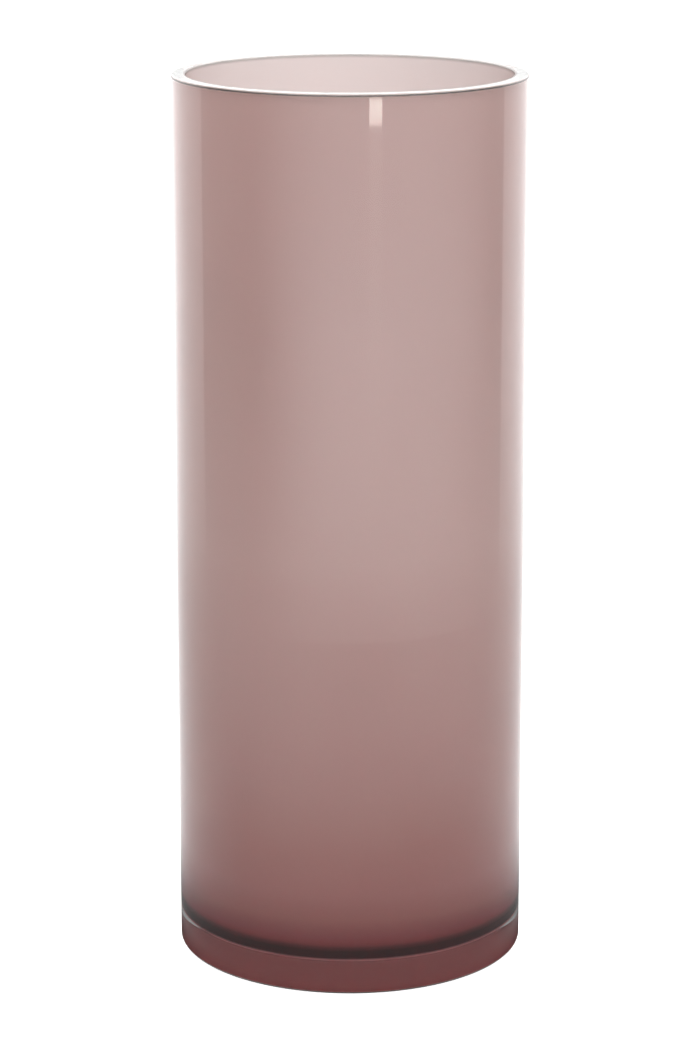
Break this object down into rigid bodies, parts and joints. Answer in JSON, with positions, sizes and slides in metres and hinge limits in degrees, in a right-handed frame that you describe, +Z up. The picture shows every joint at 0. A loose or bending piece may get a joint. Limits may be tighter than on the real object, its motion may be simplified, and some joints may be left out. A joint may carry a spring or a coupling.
{
  "type": "cylinder vase",
  "caption": "Tall straight-sided cylinder vase of thick clear glass over a thin mauve translucent glass lining, open at the top, with a thick clear base.",
  "frame": {"origin": "centre of the foot, on the surface that the vase stands on", "axes": "+Z up along the vase's axis, out of the mouth; the vase is the same all the way round"},
  "size_m": [0.12, 0.12, 0.305],
  "materials": {
    "clear_glass": "fire-polished clear soda-lime glass with faint waviness",
    "mauve_glass": "smooth translucent mauve opal glass, light passes through it diffusely"
  },
  "bodies": {
    "root": {"clear_casing": "clear_glass", "colour_lining": "mauve_glass"}
  },
  "joints": []
}
